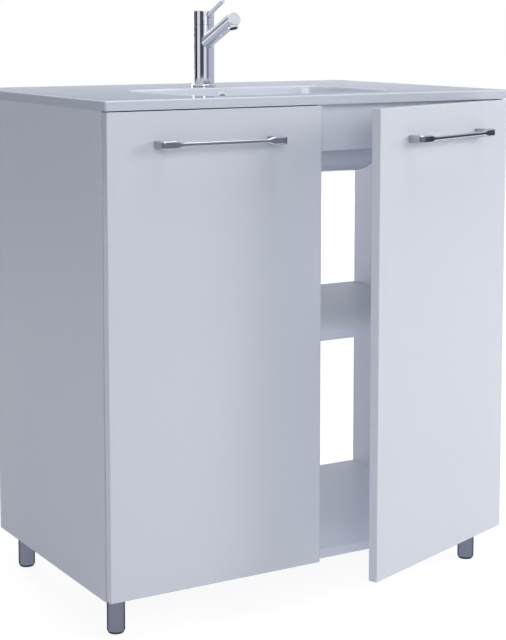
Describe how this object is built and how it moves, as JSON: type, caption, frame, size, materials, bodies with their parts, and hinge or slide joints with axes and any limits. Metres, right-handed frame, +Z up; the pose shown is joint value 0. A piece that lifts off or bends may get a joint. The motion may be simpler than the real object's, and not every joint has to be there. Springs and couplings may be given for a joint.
{
  "type": "sink base cabinet",
  "caption": "Freestanding sink base cabinet with overlay doors, bow handles, an inner shelf, metal legs, a rectangular-bowl sink top and a pin-lever mixer tap.",
  "frame": {"origin": "middle of the whole object's plan at floor level, with the right door ajar as it is stored", "axes": "+X towards the cabinet's right seen from its front, +Y towards the wall, +Z up"},
  "size_m": [0.8, 0.6886, 1.0389],
  "materials": {
    "carcass_board": "white smooth-coated chipboard",
    "door_board": "white smooth-coated board, satin gloss",
    "glazed_top": "white gloss glaze",
    "chrome": "polished chrome plate",
    "handle_metal": "satin-polished metal",
    "leg_metal": "satin metal tube",
    "hinge_steel": "bright nickel plate",
    "zinc": "zinc plate",
    "steel_pin": "plain steel",
    "brass_tube": "plain brass",
    "beech": "plain beech",
    "dark_plastic": "moulded, matt",
    "grey_plastic": "moulded, matt",
    "clear_bumper": "soft clear",
    "rubber": "soft black"
  },
  "bodies": {
    "carcass": {"side_left": "carcass_board", "side_right": "carcass_board", "floor_panel": "carcass_board", "front_rail": "carcass_board", "rear_rail": "carcass_board", "shelf": "carcass_board", "shelf_pins": "zinc", "carcass_dowels": "beech", "cam_bolts": "zinc", "cam_locks": "zinc", "leg_tube_front_left": "leg_metal", "leg_tube_front_right": "leg_metal", "leg_tube_rear_left": "leg_metal", "leg_tube_rear_right": "leg_metal", "leg_glides": "dark_plastic", "leg_plates": "zinc", "leg_screws": "zinc", "sink_top": "glazed_top", "overflow_ring": "chrome", "waste_flange": "chrome", "waste_seal": "rubber", "waste_body": "brass_tube", "waste_nut": "dark_plastic", "tap_base_ring": "chrome", "tap_body": "chrome", "tap_spout": "chrome", "tap_aerator": "grey_plastic", "tap_cartridge": "grey_plastic", "tap_seal": "rubber", "tap_shank": "brass_tube", "tap_washer": "zinc", "tap_nut": "brass_tube", "hinge_arms_left": "hinge_steel", "hinge_plates_left": "hinge_steel", "hinge_arms_right": "hinge_steel", "hinge_plates_right": "hinge_steel", "hinge_plate_screws": "zinc", "hinge_arm_screws": "zinc"},
    "left_door": {"door_left": "door_board", "handle_left": "handle_metal", "handle_screws_left": "zinc", "hinge_cups_left": "hinge_steel", "cup_screws_left": "zinc", "door_bumpers_left": "clear_bumper"},
    "right_door": {"door_right": "door_board", "handle_right": "handle_metal", "handle_screws_right": "zinc", "hinge_cups_right": "hinge_steel", "cup_screws_right": "zinc", "door_bumpers_right": "clear_bumper"},
    "tap_cap_body": {"tap_cap": "chrome", "tap_lever_pin": "steel_pin"},
    "tap_lever_body": {"tap_lever": "chrome"},
    "plug_body": {"waste_plug": "chrome"}
  },
  "joints": [
    {"name": "left_door_swing", "type": "hinge", "parent": "carcass", "child": "left_door", "pos_m": [-0.3885, -0.2147, 0.465], "axis": [0, 0, 1], "range_deg": [-95, 0]},
    {"name": "right_door_swing", "type": "hinge", "parent": "carcass", "child": "right_door", "pos_m": [0.3885, -0.2147, 0.465], "axis": [0, 0, 1], "range_deg": [-20.2, 74.8]},
    {"name": "tap_cap_turn", "type": "hinge", "parent": "carcass", "child": "tap_cap_body", "pos_m": [0, 0.2003, 1.004], "axis": [0, 0, 1], "range_deg": [-45, 45]},
    {"name": "tap_lever_lift", "type": "hinge", "parent": "tap_cap_body", "child": "tap_lever_body", "pos_m": [0, 0.1863, 1.00621], "axis": [-1, 0, 0], "range_deg": [0, 10]},
    {"name": "waste_plug_travel", "type": "slide", "parent": "carcass", "child": "plug_body", "axis": [0, 0, 1], "range_m": [0, 0.008]}
  ]
}
